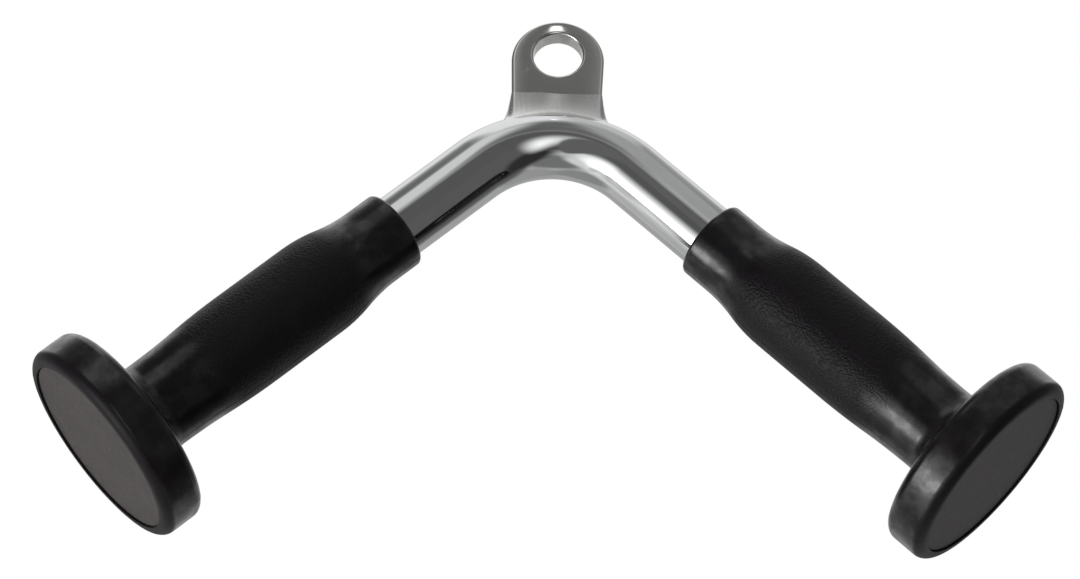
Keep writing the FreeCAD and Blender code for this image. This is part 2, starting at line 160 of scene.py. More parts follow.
class Profile:
    """An outline of (radius, height) points, drawn with straight runs and arcs."""

    def __init__(self, radius: float, height: float) -> None:
        """Start the outline at a point."""
        self._spots = [np.array([[radius, height]])]

    @property
    def _end(self) -> np.ndarray:
        """The last point so far."""
        return self._spots[-1][-1]

    def line(self, radius: float, height: float, steps: int = 1) -> "Profile":
        """Go straight to a point.

        Args:
            radius: Radius of the goal.
            height: Height of the goal.
            steps: Number of equal steps.

        Returns:
            The outline itself.
        """
        share = np.linspace(0.0, 1.0, steps + 1)[1:, None]
        self._spots.append(self._end * (1.0 - share) + np.array([radius, height]) * share)
        return self

    def arc(self, radius: float, height: float, curve: float, bulge: int, steps: int) -> "Profile":
        """Go to a point along the shorter arc of a circle.

        The circle's centre lies on the chord's perpendicular, at the height that its radius
        leaves, and the points are that radius turned through equal angles.

        Args:
            radius: Radius of the goal.
            height: Height of the goal.
            curve: Radius of the arc.
            bulge: 1 if the arc leaves the chord on its left, -1 if on its right.
            steps: Number of equal steps.

        Returns:
            The outline itself.
        """
        start, goal = self._end, np.array([radius, height])
        chord = goal - start
        reach = np.hypot(*chord)
        left = np.array([-chord[1], chord[0]]) / reach
        half = math.asin(min(1.0, reach / 2.0 / curve))
        centre = (start + goal) / 2.0 - left * bulge * curve * math.cos(half)
        turn = -bulge * 2.0 * half * np.linspace(0.0, 1.0, steps + 1)[1:]
        arm = start - centre
        spots = np.stack([arm[0] * np.cos(turn) - arm[1] * np.sin(turn),
                          arm[0] * np.sin(turn) + arm[1] * np.cos(turn)], axis=-1)
        self._spots.append(centre + spots)
        return self

    def sweep(self, radius: float, height: float, bulge: int, steps: int) -> "Profile":
        """Go to a point along two equal arcs that make one smooth step.

        Their radius is the sum of the squares of run and rise over four rises.

        Args:
            radius: Radius of the goal.
            height: Height of the goal.
            bulge: Way that the first arc leaves its chord, as for an arc.
            steps: Number of equal steps in each arc.

        Returns:
            The outline itself.
        """
        start, goal = self._end, np.array([radius, height])
        rise, run = np.abs(goal - start)
        curve = (run ** 2 + rise ** 2) / (4.0 * rise)
        middle = (start + goal) / 2.0
        return self.arc(*middle, curve, bulge, steps).arc(radius, height, curve, -bulge, steps)

    @property
    def points(self) -> np.ndarray:
        """All the points, as rows of (radius, height)."""
        return np.concatenate(self._spots)


@dataclass(frozen=True)
class BarLine:
    """The centre line of the bent bar: a straight arm, the bend, and the other arm."""

    bar_radius: float = 12.7 * MM
    bend_radius: float = 44.0 * MM
    arm_angle: float = math.radians(47.5)
    arm_straight: float = 169.7 * MM
    eye_height: float = 26.0 * MM

    @property
    def bend_axis(self) -> float:
        """Height of the axis that the bar is bent about."""
        return -(self.eye_height + self.bar_radius + self.bend_radius)

    @property
    def half_bend(self) -> float:
        """Length of half the bend, along the centre line."""
        return self.bend_radius * (TAU / 4.0 - self.arm_angle)

    @property
    def half_length(self) -> float:
        """Length from the middle of the bend to the bar's end."""
        return self.half_bend + self.arm_straight

    def rings(self, stations: np.ndarray, radii: np.ndarray, angles: np.ndarray) -> np.ndarray:
        """Carry round sections along the centre line.

        A station's point lies on the bend's circle while it is within half the bend, and goes on
        along the tangent after that. A ring's corners stand off that point by the radius times
        the cosine of their angle away from the bend's axis, and the sine of it along Y.

        Args:
            stations: Signed distances from the middle of the bend, one a row.
            radii: Distances from the centre line, one a row or (rows, columns).
            angles: Angles round the line, one a column.

        Returns:
            The corners, as (rows, columns, 3).
        """
        on_bend = np.clip(stations, -self.half_bend, self.half_bend)
        turn = on_bend / self.bend_radius
        beyond = stations - on_bend
        x = self.bend_radius * np.sin(turn) + beyond * np.cos(turn)
        z = self.bend_axis + self.bend_radius * np.cos(turn) - beyond * np.sin(turn)
        spread = np.broadcast_to(radii.reshape(len(stations), -1), (len(stations), len(angles)))
        off, side = spread * np.cos(angles), spread * np.sin(angles)
        return np.stack([x[:, None] + off * np.sin(turn)[:, None], side,
                         z[:, None] + off * np.cos(turn)[:, None]], axis=-1)

    def crown(self, x: np.ndarray, y: np.ndarray) -> np.ndarray:
        """Height of the bend's upper surface.

        At a distance y from the middle plane the bend is a circle about its axis, of the bend's
        radius plus the height that the round section has there.

        Args:
            x: Distances to the right of the middle.
            y: Distances from the plane of the V.

        Returns:
            Heights, one for each point.
        """
        rise = np.sqrt(np.maximum(self.bar_radius ** 2 - y ** 2, 0.0))
        return self.bend_axis + np.sqrt((self.bend_radius + rise) ** 2 - x ** 2)


def even_angles(columns: int) -> np.ndarray:
    """Angles that go once round in equal steps."""
    return np.linspace(0.0, TAU, columns, endpoint=False)

def even_rings(radii: list, columns: int) -> np.ndarray:
    """Rows of one radius each, as (rows, columns)."""
    return np.repeat(np.array(radii)[:, None], columns, axis=1)


def ramp(values: np.ndarray, low: float, high: float) -> np.ndarray:
    """Share of the way from one value to another, with 0 before it and 1 past it."""
    return np.clip((values - low) / (high - low), 0.0, 1.0)


# Shader graphs


def operator(operation: str, reflected: bool = False) -> Callable:
    """Make a method that adds one Math node on a wire and another number.

    Args:
        operation: The node's operation.
        reflected: True if the other number stands on the left.

    Returns:
        The method.
    """
    def method(wire: "Wire", other: object) -> "Wire":
        """Work out the operation on this wire and another wire or a plain number."""
        inputs = {0: other, 1: wire} if reflected else {0: wire, 1: other}
        return wire.graph.number(0, "ShaderNodeMath", {"operation": operation}, inputs)
    return method


class Wire:
    """A number in a shader graph. Sums and products of wires add the Math nodes they need."""

    def __init__(self, graph: "Graph", socket: bpy.types.NodeSocket) -> None:
        """Keep the graph and the output socket that carries the number."""
        self.graph = graph
        self.socket = socket

    __add__, __radd__ = operator("ADD"), operator("ADD", True)
    __sub__, __rsub__ = operator("SUBTRACT"), operator("SUBTRACT", True)
    __mul__, __rmul__ = operator("MULTIPLY"), operator("MULTIPLY", True)
    __pow__, __rpow__ = operator("POWER"), operator("POWER", True)

    def __abs__(self) -> "Wire":
        """Size of a number without its sign."""
        return self.graph.number(0, "ShaderNodeMath", {"operation": "ABSOLUTE"}, {0: self})

    def smooth(self, low: float, high: float) -> "Wire":
        """Go from 0 at one value to 1 at the other along a smooth step."""
        return self.graph.number("Result", "ShaderNodeMapRange", {"interpolation_type": "SMOOTHSTEP"},
                                 {"Value": self, "From Min": low, "From Max": high})


class Graph:
    """The node tree of one material or of the world."""

    def __init__(self, tree: bpy.types.NodeTree) -> None:
        """Empty a tree and take it over."""
        self.tree = tree
        tree.nodes.clear()

    def node(self, kind: str, settings: dict | None = None,
             inputs: dict | None = None) -> bpy.types.Node:
        """Add a node.

        Args:
            kind: The node's type.
            settings: Its own settings, set before its sockets.
            inputs: Values, wires or output sockets, by socket name or number.

        Returns:
            The node.
        """
        made = self.tree.nodes.new(kind)
        for key, value in (settings or {}).items():
            setattr(made, key, value)
        for key, value in (inputs or {}).items():
            source = value.socket if isinstance(value, Wire) else value
            if isinstance(source, bpy.types.NodeSocket):
                self.tree.links.new(source, made.inputs[key])
            else:
                made.inputs[key].default_value = source
        return made

    def number(self, output: int | str, kind: str, settings: dict | None = None,
               inputs: dict | None = None) -> Wire:
        """Add a node, and take one of its outputs as a number."""
        return Wire(self, self.node(kind, settings, inputs).outputs[output])

    def shader(self, kind: str, inputs: dict | None = None) -> bpy.types.NodeSocket:
        """Add a shader."""
        return self.node(kind, None, inputs).outputs[0]

    def mix_shaders(self, share: Wire, first: bpy.types.NodeSocket,
                    second: bpy.types.NodeSocket) -> bpy.types.NodeSocket:
        """Blend a shader with a second one."""
        return self.shader("ShaderNodeMixShader", {0: share, 1: first, 2: second})

    def close(self, surface: bpy.types.NodeSocket, owner: str = "Material") -> None:
        """End the graph of a material, or of the world, with its surface."""
        self.node(f"ShaderNodeOutput{owner}", None, {"Surface": surface})

    def place(self) -> bpy.types.NodeSocket:
        """Place on the object, in metres."""
        return self.node("ShaderNodeTexCoord").outputs["Object"]

    def mark(self, name: str) -> Wire:
        """Number that the mesh keeps on its corners under a name."""
        return self.number("Fac", "ShaderNodeAttribute", {"attribute_name": name})

    def dot(self, place: bpy.types.NodeSocket, along: Vector) -> Wire:
        """Length of a vector along a direction."""
        return self.number("Value", "ShaderNodeVectorMath", {"operation": "DOT_PRODUCT"},
                           {0: place, 1: tuple(along)})

    def noise(self, place: bpy.types.NodeSocket, size: float, detail: float = 3.0,
              rough: float = 0.5, warp: float = 0.0) -> Wire:
        """Cloudy noise from 0 to 1, whose blotches are about a given size in metres."""
        return self.number(0, "ShaderNodeTexNoise", None, {
            "Vector": place, "Scale": 1.0 / size, "Detail": detail, "Roughness": rough,
            "Distortion": warp})

    def cells(self, place: bpy.types.NodeSocket, size: float) -> Wire:
        """Distance to the nearest of scattered points, which are about a given size apart."""
        return self.number("Distance", "ShaderNodeTexVoronoi", None,
                           {"Vector": place, "Scale": 1.0 / size})

    def scratches(self, place: bpy.types.NodeSocket, size: float, width: float) -> Wire:
        """Thin wandering lines, where a cloudy noise passes its middle value."""
        return abs(self.noise(place, size, 2.0, 0.4, 0.6) - 0.5).smooth(width, 0.0)

    def mix(self, share: Wire, first: object, second: tuple) -> bpy.types.NodeSocket:
        """Blend a colour with a second colour.

        Args:
            share: Share of the second colour.
            first: The first colour, as three numbers or as a socket.
            second: The second colour, as three numbers.

        Returns:
            The socket that carries the blend.
        """
        start = (*first, 1.0) if isinstance(first, tuple) else first
        made = self.node("ShaderNodeMix", {"data_type": "RGBA"},
                         {0: share, 6: start, 7: (*second, 1.0)})
        return made.outputs[2]

    def bump(self, height: Wire, depth: float, strength: float = 1.0,
             over: bpy.types.NodeSocket | None = None) -> bpy.types.NodeSocket:
        """Tilt the surface's normal.

        Args:
            height: Height of the surface, from 0 to 1.
            depth: Metres that a height of 1 stands for.
            strength: Share of the tilt that is kept.
            over: Normal that is tilted, if it isn't the surface's own.

        Returns:
            The socket that carries the new normal.
        """
        inputs = {"Height": height, "Distance": depth, "Strength": strength}
        if over is not None:
            inputs["Normal"] = over
        return self.node("ShaderNodeBump", None, inputs).outputs["Normal"]


def new_finish(name: str) -> tuple[bpy.types.Material, Graph]:
    """Start a material.

    Args:
        name: Its name.

    Returns:
        The material and its empty graph.
    """
    material = bpy.data.materials.new(name)
    material.use_nodes = True
    return material, Graph(material.node_tree)


# Finishes


@dataclass(frozen=True)
class Clouds:
    """A cloudy pattern from 0 to 1.

    Attributes:
        size: Size of its blotches.
        detail: Number of finer layers.
        rough: Weight of the finer layers.
        cut: The two values of the pattern that become 0 and 1, if it is cut.
    """

    size: float
    detail: float = 3.0
    rough: float = 0.5
    cut: tuple = ()

    def on(self, graph: Graph, place: bpy.types.NodeSocket) -> Wire:
        """Lay the pattern on a piece."""
        cloud = graph.noise(place, self.size, self.detail, self.rough)
        return cloud.smooth(*self.cut) if self.cut else cloud


@dataclass(frozen=True)
class Finish:
    """What every finish has: a name, its colour, the colour of its worn spots, and a roughness."""

    name: str
    colour: tuple
    worn: tuple
    roughness: float

    def sockets(self, graph: Graph, place: bpy.types.NodeSocket) -> dict:
        """Values and links of the surface shader's sockets."""
        raise NotImplementedError

    def build(self) -> bpy.types.Material:
        """Make the material.

        Returns:
            The material.
        """
        material, graph = new_finish(self.name)
        graph.close(graph.shader("ShaderNodeBsdfPrincipled", self.sockets(graph, graph.place())))
        return material


@dataclass(frozen=True)
class ChromeFinish(Finish):
    """Bright chrome plate, with faint haze from hands, hairlines and a slightly wavy polish.

    Attributes:
        haze: Roughness that a dull spot adds.
        hairline: Roughness that a hairline adds.
        eye_wear: How dull the spots close round the eye's hole are.
        toe_painted_highlight: Share of a pale colour painted along a weld's toe, a painted highlight
            that stands in for the bright line reflections make there.
    """

    name: str
    colour: tuple = (0.70, 0.705, 0.71)
    worn: tuple = (0.60, 0.605, 0.61)
    roughness: float = 0.035
    haze: float = 0.055
    smudges: Clouds = Clouds(26.0 * MM, 4.0, 0.55, (0.45, 0.72))
    fog: Clouds = Clouds(5.0 * MM, 3.0, 0.6, (0.40, 0.80))
    hairline: float = 0.10
    hairline_size: float = 7.0 * MM
    hairline_width: float = 0.006
    hairline_depth: float = 0.004 * MM
    hairline_zones: Clouds = Clouds(19.0 * MM, cut=(0.42, 0.62))
    waves: Clouds = Clouds(16.0 * MM, 1.5, 0.4)
    wave_depth: float = 0.010 * MM
    eye_wear: float = 0.0
    eye_radius: float = 9.5 * MM
    eye_spots: Clouds = Clouds(1.3 * MM, 4.0, cut=(0.35, 0.65))
    toe_painted_highlight: float = 0.0
    toe_highlight_colour: tuple = (0.90, 0.90, 0.90)

    def sockets(self, graph: Graph, place: bpy.types.NodeSocket) -> dict:
        """Lay smudges, fog and hairlines on the plate, and wear, or a painted highlight along a weld's
        toe, where a piece has them.

        Args:
            graph: The material's graph.
            place: Place on the object.

        Returns:
            Values and links of the surface shader's sockets.
        """
        lines = graph.scratches(place, self.hairline_size, self.hairline_width)
        lines = lines * self.hairline_zones.on(graph, place)
        dull = self.smudges.on(graph, place) * 0.6 + self.fog.on(graph, place) * 0.25
        if self.eye_wear > 0.0:
            x, z = graph.dot(place, Vector((1.0, 0.0, 0.0))), graph.dot(place, UP)
            rim = ((x * x + z * z) ** 0.5).smooth(self.eye_radius * 1.32, self.eye_radius * 0.98)
            dull = dull + rim * (self.eye_wear * self.eye_spots.on(graph, place))
        normal = graph.bump(self.waves.on(graph, place), self.wave_depth)
        normal = graph.bump(lines, self.hairline_depth, 0.35, normal)
        colour, metal = graph.mix(dull * 0.8, self.colour, self.worn), 1.0
        # Painted highlight: the weld's toe is blended towards a pale colour and made a little less
        # metallic, standing in for the bright line that reflections make along it.
        if self.toe_painted_highlight > 0.0:
            toe = graph.mark("toe") * self.toe_painted_highlight
            colour, metal = graph.mix(toe, colour, self.toe_highlight_colour), 1.0 - toe * 0.15
        return {
            "Base Color": colour,
            "Metallic": metal,
            "Roughness": self.roughness + dull * self.haze + lines * self.hairline,
            "Normal": normal,
        }


@dataclass(frozen=True)
class RubberFinish(Finish):
    """Black moulded rubber: a fine pebbled grain where the hand goes, and smoother ends.

    The mesh marks the hand's place, the hollow behind the flange, and the flange's edge and front.
    """

    name: str = "moulded_rubber"
    colour: tuple = (0.0052, 0.0040, 0.0052)
    worn: tuple = (0.0140, 0.0120, 0.0130)
    roughness: float = 0.22
    grain_roughness: float = 0.44
    front_roughness: float = 0.26
    grain_size: float = 0.95 * MM
    grain_depth: float = 0.16 * MM
    dust: Clouds = Clouds(14.0 * MM, 4.0, 0.55)
    pores: Clouds = Clouds(0.35 * MM, 2.0)
    pore_depth: float = 0.03 * MM
    sag: Clouds = Clouds(11.0 * MM, 1.5, 0.4)
    sag_depth: float = 0.16 * MM
    polish: float = 0.30
    polish_patch: float = 0.50
    patches: Clouds = Clouds(7.0 * MM, 3.0, 0.6, (0.40, 0.62))

    def sockets(self, graph: Graph, place: bpy.types.NodeSocket) -> dict:
        """Grain the hand's place, polish the rest and lay a little dust.

        Args:
            graph: The material's graph.
            place: Place on the object.

        Returns:
            Values and links of the surface shader's sockets.
        """
        hand, front = graph.mark("hand"), graph.mark("front")
        dust = self.dust.on(graph, place)
        pale = dust.smooth(0.50, 0.80) * 0.45 + graph.mark("hollow") * 0.2 + graph.mark("edge") * 0.15
        pebbles = graph.cells(place, self.grain_size).smooth(0.10, 0.75)
        normal = graph.bump(self.pores.on(graph, place), self.pore_depth, 0.5)
        normal = graph.bump(pebbles * (0.12 + hand * 0.88), self.grain_depth, 0.8, normal)
        normal = graph.bump(self.sag.on(graph, place), self.sag_depth, 0.8, normal)
        rough = self.roughness + hand * (self.grain_roughness - self.roughness)
        polish = self.polish + self.patches.on(graph, place) * self.polish_patch
        return {
            "Base Color": graph.mix(pale, self.colour, self.worn),
            "Roughness": rough + front * self.front_roughness + (dust - 0.5) * 0.24,
            "Specular IOR Level": 0.22,
            "Coat Weight": (1.0 - hand) * (1.0 - front) * polish,
            "Coat Roughness": 0.16,
            "Normal": normal,
        }


@dataclass(frozen=True)
class CapFinish(Finish):
    """Dark grey moulded plastic with a fine spark grain and light rub marks."""

    name: str = "cap_plastic"
    colour: tuple = (0.041, 0.0365, 0.0350)
    worn: tuple = (0.072, 0.0650, 0.0625)
    roughness: float = 0.52
    clouds: Clouds = Clouds(9.0 * MM, 5.0, 0.6)
    mottle: Clouds = Clouds(1.8 * MM, 3.0, 0.6, (0.36, 0.66))
    spark: Clouds = Clouds(0.45 * MM, 3.0, 0.6)
    rub_size: float = 9.0 * MM
    rub_width: float = 0.010

    def sockets(self, graph: Graph, place: bpy.types.NodeSocket) -> dict:
        """Mottle the plastic and pale its edge and its rub marks.

        Args:
            graph: The material's graph.
            place: Place on the object.

        Returns:
            Values and links of the surface shader's sockets.
        """
        clouds, mottle = self.clouds.on(graph, place), self.mottle.on(graph, place)
        rubs = graph.scratches(place, self.rub_size, self.rub_width) * clouds.smooth(0.40, 0.60)
        normal = graph.bump(self.spark.on(graph, place), 0.02 * MM, 0.7)
        normal = graph.bump(mottle, 0.05 * MM, 0.7, normal)
        normal = graph.bump(rubs, 0.01 * MM, 0.4, normal)
        pale = clouds.smooth(0.35, 0.75) * 0.4 + mottle * 0.45
        pale = pale + graph.mark("edge") * 0.4 + rubs * 0.3
        return {
            "Base Color": graph.mix(pale, self.colour, self.worn),
            "Roughness": self.roughness + clouds * 0.10 - rubs * 0.08,
            "Specular IOR Level": 0.32,
            "Normal": normal,
        }


@dataclass(frozen=True)
class ZincFinish(Finish):
    """Bright zinc plate on small steel parts, with a faint spangle and dull spots."""

    name: str = "zinc_plate"
    colour: tuple = (0.62, 0.63, 0.65)
    worn: tuple = (0.44, 0.45, 0.46)
    roughness: float = 0.26
    spangle_size: float = 1.6 * MM
    spots: Clouds = Clouds(2.5 * MM, 4.0, 0.6, (0.50, 0.75))
    scratch_size: float = 2.0 * MM
    scratch_width: float = 0.02

    def sockets(self, graph: Graph, place: bpy.types.NodeSocket) -> dict:
        """Lay the spangle, the dull spots and a few scratches on the plate.

        Args:
            graph: The material's graph.
            place: Place on the object.

        Returns:
            Values and links of the surface shader's sockets.
        """
        spangle = graph.cells(place, self.spangle_size).smooth(0.0, 0.9)
        spots = self.spots.on(graph, place)
        lines = graph.scratches(place, self.scratch_size, self.scratch_width)
        return {
            "Base Color": graph.mix(spots * 0.8 + spangle * 0.2, self.colour, self.worn),
            "Metallic": 1.0,
            "Roughness": self.roughness + spots * 0.18 + spangle * 0.05 + lines * 0.06,
            "Normal": graph.bump(spangle * 0.3 + lines, 0.01 * MM, 0.6),
        }


def dress(piece: bpy.types.Object, material: bpy.types.Material, slot: str, *nodes: str) -> None:
    """Give a new piece its finish and body, and let it stand for its CAD nodes.

    Args:
        piece: The new piece.
        material: Its finish.
        slot: Its material slot. Not used.
        nodes: The CAD nodes that it stands for.
    """
    piece.data.materials.clear()
    piece.data.materials.append(material)
    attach(piece, BODY)
    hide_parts(*nodes)
    LOG.info("%s: %d faces, stands for %s", piece.name, len(piece.data.polygons), ", ".join(nodes))


def redress(node: str, material: bpy.types.Material) -> None:
    """Give a CAD node that keeps its shape a better finish.

    Args:
        node: Name of the node.
        material: Its new finish.
    """
    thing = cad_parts[node]
    for slot in thing.material_slots:
        slot.material = material
    LOG.info("%s keeps its shape", node)


@dataclass
class Piece:
    """A piece that is built anew for its looks, and stands for one CAD node.

    Attributes:
        line: The centre line of the bent bar, which every piece follows.
        title: Name of its object.
        node: The CAD node that it stands for.
        slot: Its material slot.
    """

    line: BarLine
    title: ClassVar[str]
    node: ClassVar[str]
    slot: ClassVar[str]

    def named(self, word: str) -> str:
        """A name as this very piece bears it."""
        return word

    def skin(self) -> Skin:
        """Surface of the piece."""
        raise NotImplementedError

    def build(self, material: bpy.types.Material) -> None:
        """Make the piece and dress it in its finish."""
        piece = self.skin().to_object(self.named(self.title))
        dress(piece, material, self.slot, self.named(self.node))


@dataclass
class ArmPiece(Piece):
    """A piece on one arm, with its twin on the other."""

    side: Side

    def named(self, word: str) -> str:
        """A name with the arm's word behind it."""
        return f"{word}_{self.side.word}"


# The bent bar, its eye plate and the weld


@dataclass(frozen=True)
class Thread:
    """A screw thread, cut as a steady ridge that climbs once round in each pitch."""

    pitch: float = 1.25 * MM
    crest: float = 4.0 * MM
    root: float = 3.35 * MM

    def radius(self, outward: np.ndarray, angles: np.ndarray, side: Side) -> np.ndarray:
        """Radius of a right-handed thread on an arm.

        The share of the ridge is a triangle wave of the height in pitches plus the turn round
        the arm, whose way the side sets, so a screw and its hole have the same phase.

        Args:
            outward: Distances from the bar's end, one a row.
            angles: Angles round the arm, one a column.
            side: The arm.

        Returns:
            Radii, as (rows, columns).
        """
        phase = outward[:, None] / self.pitch + side.value * angles[None, :] / TAU
        ridge = np.abs((phase % 1.0) * 2.0 - 1.0)
        return self.root + (self.crest - self.root) * ridge


@dataclass
class BentBar(Piece):
    """The round bar, bent once, with chamfered ends and a tapped hole in each."""

    title, node, slot = "bent_bar", "v_bar", "chrome"

    thread: Thread
    columns: int = 128
    bend_rows: int = 96
    arm_rows: int = 20
    chamfer: float = 1.0 * MM
    hole_depth: float = 30.0 * MM
    drill_point: float = 2.4 * MM
    thread_fit: float = 0.1 * MM
    thread_rows_per_pitch: int = 6

    def _end_rows(self, side: Side, angles: np.ndarray) -> tuple[np.ndarray, np.ndarray]:
        """Walk from the drill's point out to the bar's skin, on one arm.

        Args:
            side: The arm.
            angles: Angles round the arm, one a column.

        Returns:
            Stations, one a row, and radii as (rows, columns).
        """
        steps = round(self.hole_depth / self.thread.pitch) * self.thread_rows_per_pitch
        outward = np.linspace(-self.hole_depth, 0.0, steps + 1)
        heights = [[-self.hole_depth - self.drill_point], outward, [0.0, 0.0, -self.chamfer]]
        mouth, wall = self.thread.crest + self.thread_fit, self.line.bar_radius
        radii = [even_rings([POLE_RADIUS], len(angles)),
                 self.thread.radius(outward, angles, side) + self.thread_fit,
                 even_rings([mouth, wall - self.chamfer, wall], len(angles))]
        stations = side.value * (self.line.half_length + np.concatenate(heights))
        return stations, np.concatenate(radii)

    def skin(self) -> Skin:
        """Carry the round section from one drilled end to the other."""
        angles = even_angles(self.columns)
        half_bend, half_length = self.line.half_bend, self.line.half_length
        arm = np.linspace(half_length - self.chamfer, half_bend, self.arm_rows + 1)[1:]
        bend = np.linspace(-half_bend, half_bend, self.bend_rows + 1)[1:-1]
        between = np.concatenate([-arm, bend, arm[::-1]])
        left, right = (self._end_rows(side, angles) for side in Side)
        stations = np.concatenate([left[0], between, right[0][::-1]])
        plain = even_rings([self.line.bar_radius] * len(between), self.columns)
        radii = np.concatenate([left[1], plain, right[1][::-1]])
        return Skin(self.line.rings(stations, radii, angles), ring=False)


@dataclass
class EyePlate(Piece):
    """The flat plate with a round head and the cable's hole, standing on the bend."""

    title, node, slot = "eye_plate", "eye_lug", "chrome"

    hole_radius: float = 9.5 * MM
    head_radius: float = 17.75 * MM
    top_wall: float = 5.5 * MM
    foot_half_width: float = 16.9 * MM
    half_thickness: float = 4.0 * MM
    edge_round: float = 1.0 * MM
    foot_sink: float = 0.1 * MM
    crown: float = 0.05 * MM
    head_steps: int = 120
    side_steps: int = 30
    foot_steps: int = 42
    round_steps: int = 9
    face_steps: int = 11

    def _outline(self, inset: float, y: float) -> np.ndarray:
        """Outline of the plate, drawn in from its edge by an inset, at a distance y from its middle.

        It runs up the right side, over the round head, down the left side, and back along the
        bar's surface, which lies lower further from the middle plane.

        Args:
            inset: Distance in from the edge.
            y: Distance from the middle plane.

        Returns:
            Points as (steps, 3).
        """
        head = self.head_radius - inset
        foot = self.foot_half_width - inset
        head_z = self.hole_radius + self.top_wall - self.head_radius
        foot_z = float(self.line.crown(np.array(foot), np.array(y))) - self.foot_sink
        climb = np.linspace(0.0, 1.0, self.side_steps, endpoint=False)
        turn = np.linspace(0.0, TAU / 2.0, self.head_steps + 1)
        side_x = foot + (head - foot) * climb
        side_z = foot_z + (head_z - foot_z) * climb
        base_x = np.linspace(-foot, foot, self.foot_steps + 2)[1:-1]
        base_z = self.line.crown(base_x, np.array(y)) - self.foot_sink
        fall_x = np.concatenate([-side_x[::-1], [-foot]])
        fall_z = np.concatenate([side_z[::-1], [foot_z]])
        x = np.concatenate([side_x, head * np.cos(turn), fall_x[:-1], base_x])
        z = np.concatenate([side_z, head_z + head * np.sin(turn), fall_z[:-1], base_z])
        return np.stack([x, np.full_like(x, y), z], axis=-1)

    def _hole(self, radius: float, y: float, like: np.ndarray) -> np.ndarray:
        """Circle round the hole whose points face those of an outline."""
        way = np.arctan2(like[:, 2], like[:, 0])
        return np.stack([radius * np.cos(way), np.full_like(way, y), radius * np.sin(way)], axis=-1)

    def skin(self) -> Skin:
        """Carry the outline round the plate's section: edge, front, hole, back.

        Polishing has left each face a little crowned, by half a sine wave between the outline
        and the hole.
        """
        turn = np.linspace(0.0, TAU / 4.0, self.round_steps + 1)
        ease = self.edge_round * (1.0 - np.cos(turn))
        rise = self.half_thickness - self.crown - self.edge_round + self.edge_round * np.sin(turn)
        rows = []
        for way in (-1.0, 1.0):
            steps = range(len(turn)) if way < 0.0 else range(len(turn) - 1, -1, -1)
            outer = [self._outline(float(ease[k]), way * float(rise[k])) for k in steps]
            flat = outer[-1] if way < 0.0 else outer[0]
            inner = [self._hole(self.hole_radius + float(ease[k]), way * float(rise[k]), flat)
                     for k in steps]
            start, goal = (flat, inner[-1]) if way < 0.0 else (inner[0], flat)
            share = np.linspace(0.0, 1.0, self.face_steps + 2)[1:-1]
            lift = np.array([0.0, way * self.crown, 0.0])
            face = [start * (1.0 - part) + goal * part + lift * math.sin(part * TAU / 2.0)
                    for part in share]
            rows += outer + face + inner[::-1] if way < 0.0 else inner[::-1] + face + outer
        return Skin(np.stack(rows))


